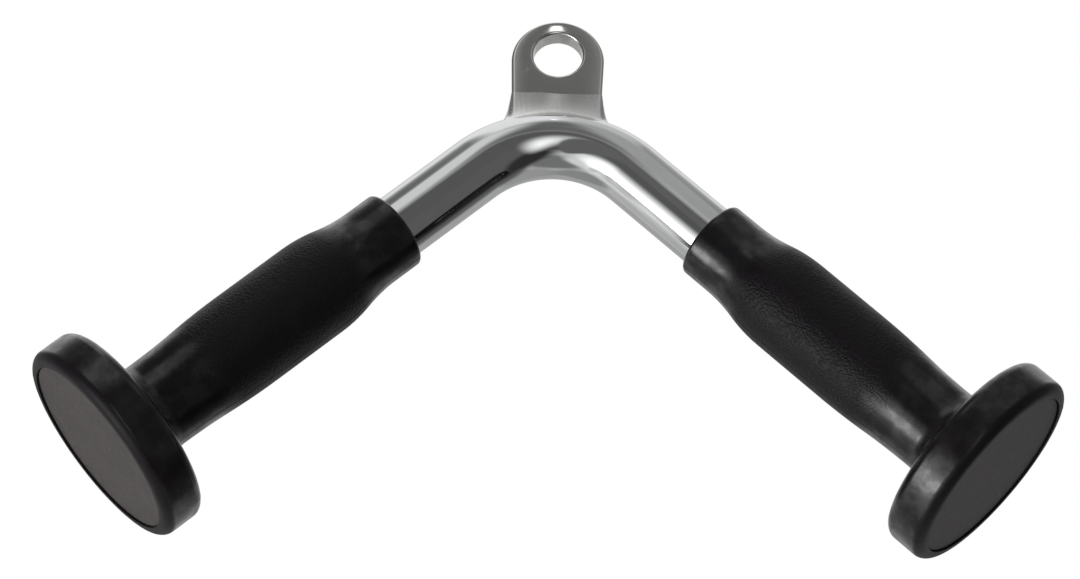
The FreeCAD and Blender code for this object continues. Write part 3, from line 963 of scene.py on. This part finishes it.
@dataclass
class WeldBead(Piece):
    """The fillet weld round the plate's foot, with the soft ripples of its passes."""

    title, node, slot = "weld_bead", "lug_weld", "chrome"

    half_length: float = 16.9 * MM
    half_depth: float = 4.0 * MM
    corner: float = 1.0 * MM
    climb: float = 8.4 * MM
    side_leg: float = 4.7 * MM
    end_leg: float = 3.7 * MM
    top_lip: float = 0.05 * MM
    end_lip: float = 0.50 * MM
    sink: float = 0.35 * MM
    handle_out: float = 0.50
    handle_up: float = 0.06
    # These two place the weld's painted highlight: where it begins across the face, and how strongly
    # it grows towards the plate's ends.
    toe_highlight_from: float = 0.50
    end_painted_highlight: float = 0.60
    wander_out: float = 0.22 * MM
    wander_up: float = 0.25 * MM
    ripple_pitch: float = 2.3 * MM
    ripple_height: float = 0.012 * MM
    ripple_bow: float = 0.55
    columns: int = 420
    face_steps: int = 26
    hidden_steps: int = 5

    def _wall(self) -> tuple[np.ndarray, np.ndarray, np.ndarray]:
        """Walk once round the plate's foot in equal steps.

        Each stretch of a rectangle with round corners is a line or a quarter circle. The walk is
        resampled by length, and the outward way is square to it.

        Returns:
            Places and outward ways as (columns, 2), and the lengths walked.
        """
        in_x, in_y = self.half_length - self.corner, self.half_depth - self.corner
        quarter = np.linspace(0.0, TAU / 4.0, 24)
        corners = [(in_x, in_y, 0.0), (-in_x, in_y, 1.0), (-in_x, -in_y, 2.0), (in_x, -in_y, 3.0)]
        spots = np.concatenate([
            np.stack([x + self.corner * np.cos(quarter + turn * TAU / 4.0),
                      y + self.corner * np.sin(quarter + turn * TAU / 4.0)], axis=-1)
            for x, y, turn in corners])
        loop = np.concatenate([spots, spots[:1]])
        walked = np.concatenate([[0.0], np.cumsum(np.hypot(*np.diff(loop, axis=0).T))])
        goal = np.linspace(0.0, walked[-1], self.columns, endpoint=False)
        place = np.stack([np.interp(goal, walked, loop[:, k]) for k in range(2)], axis=-1)
        ahead = np.roll(place, -1, axis=0) - np.roll(place, 1, axis=0)
        ahead /= np.hypot(*ahead.T)[:, None]
        return place, np.stack([ahead[:, 1], -ahead[:, 0]], axis=-1), goal

    def skin(self) -> Skin:
        """Sweep the bead's section round the foot.

        The open face of the section is a curve with one handle, from the top on the plate to the
        toe on the bar. The handle lies low, so the face leans steeply and turns near its toe.
        Ripples stand off it by a cosine of the length walked, bowed across the face. The hidden
        side runs back under the bar's skin and up inside the plate. The toe's mark, which sets where
        the weld's painted highlight lies, is a smooth step across the face, or the squared share of
        the way to the plate's ends if that is more.
        """
        place, way, walked = self._wall()
        turns = TAU * walked / (walked[-1] + walked[1])
        wander = np.sin(3.0 * turns) * 0.5 + np.sin(7.0 * turns + 1.0) * 0.3
        leg = self.side_leg * way[:, 1] ** 2 + self.end_leg * way[:, 0] ** 2
        leg = leg + self.wander_out * wander
        top = self.climb - self.line.eye_height + self.wander_up * np.roll(wander, self.columns // 5)

        def at(out: np.ndarray, z: np.ndarray) -> np.ndarray:
            """Points at a distance out from the wall and at a height."""
            return np.concatenate([place + way * out[:, None], z[:, None]], axis=-1)

        def on_bar(out: np.ndarray, sink: float = 0.0) -> np.ndarray:
            """Points at a distance out from the wall, sunk below the bar's surface."""
            return at(out, self.line.crown(*(place + way * out[:, None]).T) - sink)

        head = at(self.top_lip + self.end_lip * way[:, 0] ** 2, top)
        toe, foot = on_bar(leg), on_bar(np.zeros(self.columns))
        handle = foot + (toe - foot) * self.handle_out + (head - foot) * self.handle_up
        share = np.linspace(0.0, 1.0, self.face_steps)[:, None, None]
        face = head * (1 - share) ** 2 + handle * 2.0 * share * (1 - share) + toe * share ** 2
        across = share[..., 0]
        bow = (2.0 * across - 1.0) ** 2 * self.ripple_bow
        wave = 0.5 + 0.5 * np.cos(TAU * (walked / self.ripple_pitch + bow + wander))
        fade = np.sin(TAU / 2.0 * across) ** 0.7
        off = np.stack([*way.T, np.ones(self.columns)], axis=-1) / math.sqrt(2.0)
        face = face + off * (wave * fade * self.ripple_height)[..., None]
        back = np.linspace(0.0, 1.0, self.hidden_steps)[:, None, None]
        inner = np.full(self.columns, -self.sink)
        low, deep = on_bar(leg - self.sink, self.sink), on_bar(inner, self.sink)
        high = at(inner, top - self.sink)
        under = [low * (1 - back) + deep * back, (deep * (1 - back) + high * back)[1:]]
        # Painted highlight: the toe mark, which the weld's finish turns into a pale colour near the
        # bar and towards the plate's ends.
        bright = ramp(across, self.toe_highlight_from, 1.0)
        bright = bright ** 2 * (3.0 - 2.0 * bright)
        bright = np.concatenate([bright, np.zeros((2 * self.hidden_steps - 1, 1))])
        ends = (place[:, 0] / self.half_length) ** 2 * self.end_painted_highlight
        return Skin(np.concatenate([face, *under]), marks={"toe": np.maximum(bright, ends)})


# What sits on each arm


@dataclass
class Grip(ArmPiece):
    """One moulded rubber grip: collar, belly, neck and the round flange with its recess.

    Attributes:
        hand_start: Heights between which the hand's place begins.
        hand_stop: Heights between which it ends, the further one first.
    """

    title, node, slot = "rubber_grip", "grip", "grip_rubber"

    columns: int = 200
    length: float = 143.0 * MM
    bore: float = 12.8 * MM
    collar: float = 15.7 * MM
    collar_length: float = 12.0 * MM
    collar_round: float = 1.4 * MM
    belly: float = 19.15 * MM
    belly_station: float = 41.0 * MM
    belly_length: float = 31.0 * MM
    neck: float = 17.55 * MM
    flare: float = 10.0 * MM
    flange: float = 41.16 * MM
    flange_thickness: float = 17.4 * MM
    flange_round: float = 4.0 * MM
    recess: float = 36.0 * MM
    recess_depth: float = 3.3 * MM
    pocket: float = 17.6 * MM
    end_recess: float = 13.5 * MM
    seam_height: float = 0.12 * MM
    seam_width: float = 0.35 * MM
    angle_pull: float = 0.30
    hand_start: tuple = (22.0 * MM, 30.0 * MM)
    hand_stop: tuple = (101.0 * MM, 89.0 * MM)
    hollow_before: float = 4.0 * MM
    hollow_reach: float = 7.0 * MM

    def _profile(self) -> tuple[np.ndarray, int]:
        """Draw the moulding from its inner end round to its bore.

        Returns:
            The points, and how many of them lie on the outer skin.
        """
        back = self.length - self.flange_thickness
        belly_end = self.belly_station + self.belly_length
        outer = Profile(self.bore, 0.0).line(self.collar - self.collar_round, 0.0)
        outer.arc(self.collar, self.collar_round, self.collar_round, -1, 8)
        outer.line(self.collar, self.collar_length, 6)
        outer.sweep(self.belly, self.belly_station, 1, 8).line(self.belly, belly_end, 6)
        outer.sweep(self.neck, back - self.flare, -1, 12)
        outer.arc(self.neck + self.flare, back, self.flare, 1, 16)
        outer.line(self.flange - self.flange_round, back, 4)
        outer.arc(self.flange, back + self.flange_round, self.flange_round, -1, 12)
        outer.line(self.flange, self.length - self.flange_round, 4)
        outer.arc(self.flange - self.flange_round, self.length, self.flange_round, -1, 12)
        skin = len(outer.points)
        floor, seat = self.length - self.recess_depth, self.length - self.end_recess
        outer.line(self.recess, self.length).line(self.recess, floor, 2).line(self.pocket, floor, 2)
        outer.line(self.pocket, seat, 2).line(self.bore, seat).line(self.bore, 0.0, 12)
        return outer.points[:-1], skin

    def skin(self) -> Skin:
        """Turn the outline about the arm, with the mould's seam along it in the plane of the V.

        The columns are drawn towards the seams by a sine of twice their angle, and the seam is a
        bell curve of the distance round. The marks are ramps and a bell curve of the height.
        """
        points, count = self._profile()
        even = even_angles(self.columns)
        angles = even - self.angle_pull * np.sin(2.0 * even)
        radius, height = points.T
        outside = np.arange(len(points)) < count
        away = radius[:, None] * np.abs(np.sin(angles))
        seam = np.exp(-(away / self.seam_width) ** 2) * self.seam_height
        seamed = outside & (radius > self.collar * 0.98) & (radius <= self.flange - self.seam_height)
        radii = radius[:, None] + np.where(seamed[:, None], seam, 0.0)
        start = self.line.half_length + self.end_recess - self.length
        stations = self.side.value * (start + height)
        hand = ramp(height, *self.hand_start) * ramp(height, *self.hand_stop)
        deepest = self.length - self.flange_thickness - self.hollow_before
        hollow = np.exp(-((height - deepest) / self.hollow_reach) ** 2)
        marks = {
            "hand": np.where(outside & (radius < self.belly + 0.1 * MM), hand, 0.0),
            "hollow": np.where(radius < self.flange - self.flange_round, hollow, 0.0),
            "edge": np.where(radius > self.flange - 0.7 * self.flange_round, 1.0, 0.0),
            "front": ramp(height - self.length, -self.flange_round, -0.6 * self.flange_round),
        }
        return Skin(self.line.rings(stations, radii, angles), marks={
            name: values[:, None] for name, values in marks.items()})


@dataclass
class FaceCap(ArmPiece):
    """The flat round cap in the flange's face, with the ring behind it that holds it in."""

    title, node, slot = "face_cap", "end_cap", "cap_plastic"

    columns: int = 160
    rim: float = 35.9 * MM
    thickness: float = 2.5 * MM
    edge_round: float = 0.5 * MM
    dish: float = 0.10 * MM
    ring_outer: float = 17.5 * MM
    ring_inner: float = 15.1 * MM
    ring_length: float = 6.0 * MM
    seat: float = 10.2 * MM

    def skin(self) -> Skin:
        """Turn the cap's outline about the arm. The face sinks a little towards its middle."""
        face = self.ring_length + self.thickness
        outline = Profile(POLE_RADIUS, self.ring_length).line(self.ring_inner, self.ring_length, 3)
        outline.line(self.ring_inner, 0.0, 2).line(self.ring_outer, 0.0)
        outline.line(self.ring_outer, self.ring_length, 2).line(self.rim, self.ring_length, 3)
        outline.line(self.rim, face - self.edge_round, 2)
        outline.arc(self.rim - self.edge_round, face, self.edge_round, -1, 7)
        outline.line(POLE_RADIUS, face, 16)
        radius, height = outline.points.T
        flat = ramp(radius, self.rim - self.edge_round, 0.0)
        sunk = self.dish * np.sin(flat * TAU / 4.0)
        height = height - np.where(height > face - 0.02 * MM, sunk, 0.0)
        start = self.line.half_length + self.seat - self.ring_length
        stations = self.side.value * (start + height)
        edge = np.where((radius > self.rim - self.edge_round) & (height > self.ring_length), 1.0, 0.0)
        return Skin(self.line.rings(stations, radius, even_angles(self.columns)), ring=False,
                    marks={"edge": edge[:, None]})


@dataclass
class ClampScrew(ArmPiece):
    """The hexagon screw in the bar's end, with its thread cut."""

    title, node, slot = "clamp_screw", "grip_screw", "zinc_steel"

    thread: Thread
    columns: int = 72
    length: float = 25.0 * MM
    washers: float = 4.5 * MM
    tip_chamfer: float = 1.0 * MM
    across_flats: float = 13.0 * MM
    head_height: float = 5.3 * MM
    head_flat_share: float = 0.95
    head_slope: float = 0.55
    rows_per_pitch: int = 8

    def _hexagon(self, angles: np.ndarray) -> np.ndarray:
        """Radius of a hexagon: half its width over the cosine of the angle from the nearest flat."""
        from_flat = (angles + TAU / 12.0) % (TAU / 6.0) - TAU / 12.0
        return self.across_flats / 2.0 / np.cos(from_flat)

    def skin(self) -> Skin:
        """Carry the round shank and the hexagon along the arm.

        Two cones cut the thread's tip and the head's top: each takes the smaller radius.
        """
        angles = even_angles(self.columns)
        below, top = self.length - self.washers, self.washers + self.head_height
        rows = round((below - self.tip_chamfer) / self.thread.pitch * self.rows_per_pitch)
        cut = np.linspace(-below, 0.0, rows + 1)
        tip = self.thread.crest - self.tip_chamfer + (cut + below)[:, None]
        shank = np.minimum(self.thread.radius(cut, angles, self.side), tip)
        hexagon = self._hexagon(angles)
        flat = self.across_flats / 2.0 * self.head_flat_share
        out = np.array([1.0, 0.66, 0.33, 0.0]) * (hexagon.max() - flat)
        head = np.minimum(hexagon, (flat + out)[:, None])
        heights = np.concatenate([[-below], cut, [0.2 * MM, self.washers, self.washers],
                                  top - out * self.head_slope, [top]])
        pole = even_rings([POLE_RADIUS], self.columns)
        plain = even_rings([self.thread.crest] * 2, self.columns)
        radii = np.concatenate([pole, shank, plain, hexagon[None, :], head, pole])
        stations = self.side.value * (self.line.half_length + heights)
        return Skin(self.line.rings(stations, radii, angles), ring=False)


# The studio


def direction(longitude: float, latitude: float) -> Vector:
    """Way from the object to a place: degrees to the right of the viewer, and above level."""
    turn, rise = math.radians(longitude), math.radians(latitude)
    return Vector((math.sin(turn) * math.cos(rise), -math.cos(turn) * math.cos(rise), math.sin(rise)))


def upright_axes(away: Vector, roll: float) -> tuple[Vector, Vector]:
    """Ways to the right and to the top of a picture that faces the object.

    Args:
        away: Way from the object to the picture.
        roll: Degrees that the picture is turned, so that its foot goes to the right.

    Returns:
        The two ways.
    """
    right = UP.cross(away).normalized()
    top = away.cross(right)
    cos, sin = math.cos(math.radians(roll)), math.sin(math.radians(roll))
    return right * cos + top * sin, top * cos - right * sin


def flat_sheet(name: str, middle: Vector, side: Vector, rise: Vector,
               material: bpy.types.Material) -> bpy.types.Object:
    """Make a sheet of one face, whose corners lie a side and a rise from its middle.

    Args:
        name: Name of its object.
        middle: Place of its middle.
        side: Half its width, as a way.
        rise: Half its height, as a way.
        material: Its material.

    Returns:
        The object.
    """
    mesh = bpy.data.meshes.new(name)
    spots = [middle + side * x + rise * y for x, y in ((-1, -1), (1, -1), (1, 1), (-1, 1))]
    mesh.from_pydata([tuple(spot) for spot in spots], [], [(0, 1, 2, 3)])
    mesh.materials.append(material)
    return add_object(name, mesh)


@dataclass(frozen=True)
class Panel:
    """A lit or dark round of the studio, as the metal sees it from the middle of the object.

    Attributes:
        longitude: Degrees to the right of the way to the viewer.
        latitude: Degrees above level.
        half_width: Half its width in degrees.
        half_height: Half its height in degrees.
        soft: Share of its size over which it fades in from its edge.
        level: Brightness, where 1 is white.
        roll: Degrees that it is turned, so that its foot goes to the right.
    """

    longitude: float
    latitude: float
    half_width: float
    half_height: float
    soft: float
    level: float
    roll: float = 0.0

    def over(self, graph: Graph, way: bpy.types.NodeSocket, level: object) -> Wire:
        """Lay the panel over what lies behind it.

        A ray is inside the panel's cone while its length along the middle is more than the root
        of the sum of squares of its lengths to the side and up, each over the tangent of the
        half angle. What it has to spare makes the soft edge.

        Args:
            graph: The world's graph.
            way: The ray's way.
            level: Brightness of what lies behind.

        Returns:
            Brightness of the two.
        """
        away = direction(self.longitude, self.latitude)
        right, top = upright_axes(away, self.roll)
        side = graph.dot(way, right) * (1.0 / math.tan(math.radians(self.half_width)))
        rise = graph.dot(way, top) * (1.0 / math.tan(math.radians(self.half_height)))
        room = graph.dot(way, away) - (side * side + rise * rise) ** 0.5
        return level + room.smooth(0.0, self.soft) * (self.level - level)


@dataclass(frozen=True)
class Lamp:
    """A square soft lamp that points at the object."""

    name: str
    longitude: float
    latitude: float
    distance: float
    size: float
    brightness: float

    def build(self, aim: Vector) -> None:
        """Hang the lamp. Its power is its brightness times its area times pi."""
        data = bpy.data.lights.new(self.name, "AREA")
        data.shape = "SQUARE"
        data.size = self.size
        data.energy = self.brightness * self.size ** 2 * math.pi
        lamp = add_object(self.name, data)
        away = direction(self.longitude, self.latitude)
        lamp.location = aim + away * self.distance
        lamp.rotation_mode = "QUATERNION"
        lamp.rotation_quaternion = away.to_track_quat("Z", "Y")
        lamp.visible_camera = False
        lamp.visible_glossy = False


@dataclass(frozen=True)
class Card:
    """An upright card near the object that shows in mirror images alone, and from one side.

    Attributes:
        name: Name of its object.
        middle: Place of its middle.
        facing: Level way that its lit side looks.
        width: Its width.
        height: Its height.
        level: Brightness, where 1 is white.
        fade: Length over which it thins out from its sides, foot and top.
        blotch: Size of its brighter and darker blotches, as a share of its height.
    """

    name: str
    middle: tuple
    facing: tuple
    width: float
    height: float
    level: float
    fade: tuple = (0.004, 0.004, 0.004)
    blotch: float = 0.35

    def build(self) -> None:
        """Stand the card up."""
        material, graph = new_finish(self.name)
        place = graph.place()
        middle, way = Vector(self.middle), UP.cross(Vector(self.facing))
        half_width, half_height = self.width / 2.0, self.height / 2.0
        cloud = graph.noise(place, self.height * self.blotch, 1.0)
        low, high = ((self.level * share,) * 3 for share in (0.55, 1.45))
        across = abs(graph.dot(place, way) - middle.dot(way))
        up = graph.dot(place, UP) - middle.z
        sides, foot, top = self.fade
        there = across.smooth(half_width, half_width - sides)
        there = there * up.smooth(-half_height, foot - half_height)
        there = there * up.smooth(half_height, half_height - top)
        front = 1.0 - graph.number("Backfacing", "ShaderNodeNewGeometry")
        clear = graph.shader("ShaderNodeBsdfTransparent")
        glow = graph.shader("ShaderNodeEmission", {
            "Color": graph.mix(cloud, low, high), "Strength": 1.0})
        graph.close(graph.mix_shaders(there * front, clear, glow))
        card = flat_sheet(self.name, middle, way * half_width, UP * half_height, material)
        card.visible_camera = False
        card.visible_diffuse = False
        card.visible_shadow = False
        card.visible_transmission = False


@dataclass
class Studio:
    """Pale floor, white surroundings, soft lamps and the camera at the photograph's angle."""

    floor_height: float = -1.25
    floor_half: float = 14.0
    floor_colour: tuple = (0.86, 0.86, 0.86)
    floor_fade: tuple = (0.7, 1.75)
    ambient: float = 0.32
    surround: float = 0.64
    camera_below: float = 29.23
    camera_turn: float = -0.01
    camera_roll: float = 1.77
    camera_distance: float = 1.8
    camera_aim: tuple = (-4.12 * MM, 0.0, -101.5 * MM)
    focal_pixels: float = 4802.99
    frame_pixels: float = 1080.0
    film_width: float = 36.0

    def panels(self) -> list[Panel]:
        """The panels, each laid over the ones before it."""
        return [
            Panel(0, -88, 34, 34, 0.45, 0.22),
            Panel(180, 2, 55, 30, 0.4, 0.46),
            Panel(150, -38, 40, 36, 0.5, 0.4),
            Panel(-148, -40, 34, 30, 0.5, 0.32),
            Panel(-170, 66, 40, 20, 0.5, 0.9),
            Panel(-80, 80, 45, 14, 0.5, 1.0),
            Panel(-74, 20, 56, 54, 0.25, 0.13),
            Panel(84, 20, 54, 53, 0.25, 0.2),
            Panel(16, 48, 30, 32, 0.5, 0.44),
            Panel(-14, 42, 18, 22, 0.5, 0.8),
            Panel(5, -10, 52, 40, 0.3, 0.12),
            Panel(70, -38, 66, 36, 0.35, 0.13),
            Panel(98, -32, 20, 20, 0.6, 0.03),
            Panel(52, -56, 50, 21, 0.6, 0.036),
            Panel(-66, -36, 42, 38, 0.9, 1.85),
            Panel(-70, -30, 17, 15, 0.6, 6.5),
            Panel(-58, -66, 26, 14, 0.8, 0.85),
            Panel(7, -19, 13, 38, 1.0, 1.35, 25),
            Panel(-13.5, -16, 12.5, 40, 0.25, 0.15),
        ]

    def cards(self) -> list["Card"]:
        """The cards that only the metal sees.

        A dark one hangs in front of the eye, with a small bright spot before it, and a white one
        stands in the V.
        """
        return [
            Card("dark_card", (0.0, -0.20, 0.23), (0.0, 1.0, 0.0), 0.120, 0.440, 0.165,
                 (0.048, 0.06, 0.23), 0.09),
            Card("bright_spot", (-0.0008, -0.030, 0.0272), (0.0, 1.0, 0.0), 0.0052, 0.010, 2.4,
                 (0.0012, 0.003, 0.003)),
            Card("white_card", (-0.040, 0.0, -0.109), (1.0, 0.0, 0.0), 0.056, 0.060, 0.80,
                 (0.014, 0.014, 0.014)),
        ]

    def lamps(self) -> list[Lamp]:
        """The soft lamps."""
        return [
            Lamp("key_softbox", -70.0, -40.0, 1.1, 1.0, 2.6),
            Lamp("top_softbox", -25.0, 62.0, 1.5, 1.3, 1.6),
        ]

    def build_world(self) -> None:
        """White to the camera, panels to the metal, and an even level to everything else."""
        world = bpy.data.worlds.new("studio")
        bpy.context.scene.world = world
        world.use_nodes = True
        world.cycles.sampling_method = "NONE"
        graph = Graph(world.node_tree)
        way = graph.node("ShaderNodeTexCoord").outputs["Generated"]
        seen = self.surround
        for panel in self.panels():
            seen = panel.over(graph, way, seen)
        camera, glossy, through = (graph.number(name, "ShaderNodeLightPath") for name in (
            "Is Camera Ray", "Is Glossy Ray", "Is Transmission Ray"))
        level = self.ambient + glossy * (seen - self.ambient)
        level = level + through * (1.0 - level)
        level = level + camera * (1.0 - level)
        white = (1.0, 1.0, 1.0, 1.0)
        graph.close(graph.shader("ShaderNodeBackground", {"Color": white, "Strength": level}), "World")

    def build_floor(self) -> None:
        """Lay the floor: pale, fading to white far out, and clear to a camera that is below it."""
        material, graph = new_finish("pale_floor")
        place = graph.place()
        far = graph.number("Value", "ShaderNodeVectorMath", {"operation": "LENGTH"}, {0: place})
        fine = graph.noise(place, 0.02, 4.0)
        matt = graph.shader("ShaderNodeBsdfDiffuse", {
            "Color": (*self.floor_colour, 1.0), "Normal": graph.bump(fine, 0.1 * MM, 0.3)})
        white = graph.shader("ShaderNodeEmission", {"Strength": 1.0})
        seen = graph.number("Is Camera Ray", "ShaderNodeLightPath")
        paper = graph.mix_shaders(far.smooth(*self.floor_fade) * seen, matt, white)
        under = graph.number("Backfacing", "ShaderNodeNewGeometry")
        clear = graph.shader("ShaderNodeBsdfTransparent")
        graph.close(graph.mix_shaders(under, paper, clear))
        side, rise = Vector((self.floor_half, 0.0, 0.0)), Vector((0.0, self.floor_half, 0.0))
        floor = flat_sheet("studio_floor", UP * self.floor_height, side, rise, material)
        floor.visible_glossy = False

    def build_camera(self) -> None:
        """Put the camera below and in front of the object, looking up at it."""
        back = direction(self.camera_turn, -self.camera_below)
        right, top = upright_axes(back, self.camera_roll)
        data = bpy.data.cameras.new("photo_camera")
        data.sensor_width = self.film_width
        data.lens = self.focal_pixels * self.film_width / self.frame_pixels
        camera = add_object("photo_camera", data)
        spot = Vector(self.camera_aim) + back * self.camera_distance
        turned = Matrix((right, top, back)).transposed().to_4x4()
        camera.matrix_world = Matrix.Translation(spot) @ turned
        bpy.context.scene.camera = camera

    def build(self) -> None:
        """Set up the whole studio."""
        bpy.context.scene.view_settings.view_transform = "Standard"
        self.build_world()
        self.build_floor()
        aim = Vector(self.camera_aim)
        for lamp in self.lamps():
            lamp.build(aim)
        for card in self.cards():
            card.build()
        self.build_camera()
        LOG.info("studio ready")


def main() -> None:
    """Build every piece, dress what keeps its CAD shape, and set up the studio."""
    logging.basicConfig(level=logging.INFO, format="%(name)s: %(message)s")
    line, thread = BarLine(), Thread()
    chrome = ChromeFinish("chrome_plate").build()
    eye_chrome = ChromeFinish(
        "chrome_eye", colour=(0.70, 0.705, 0.675), worn=(0.58, 0.585, 0.56), roughness=0.10,
        haze=0.10, wave_depth=0.09 * MM, eye_wear=0.8).build()
    # The weld's finish has a painted highlight along its toe, where the bead meets the bar.
    weld_chrome = ChromeFinish(
        "chrome_weld", colour=(0.47, 0.47, 0.46), worn=(0.39, 0.39, 0.38), roughness=0.24,
        haze=0.12, wave_depth=0.03 * MM, toe_painted_highlight=0.9).build()
    rubber, plastic, zinc = RubberFinish().build(), CapFinish().build(), ZincFinish().build()
    BentBar(line, thread).build(chrome)
    EyePlate(line).build(eye_chrome)
    WeldBead(line).build(weld_chrome)
    for side in Side:
        Grip(line, side).build(rubber)
        FaceCap(line, side).build(plastic)
        ClampScrew(line, side, thread).build(zinc)
        for part in ("grip_washer", "lock_washer"):
            redress(f"{part}_{side.word}", zinc)
    Studio().build()


if __name__ == "__main__":
    main()
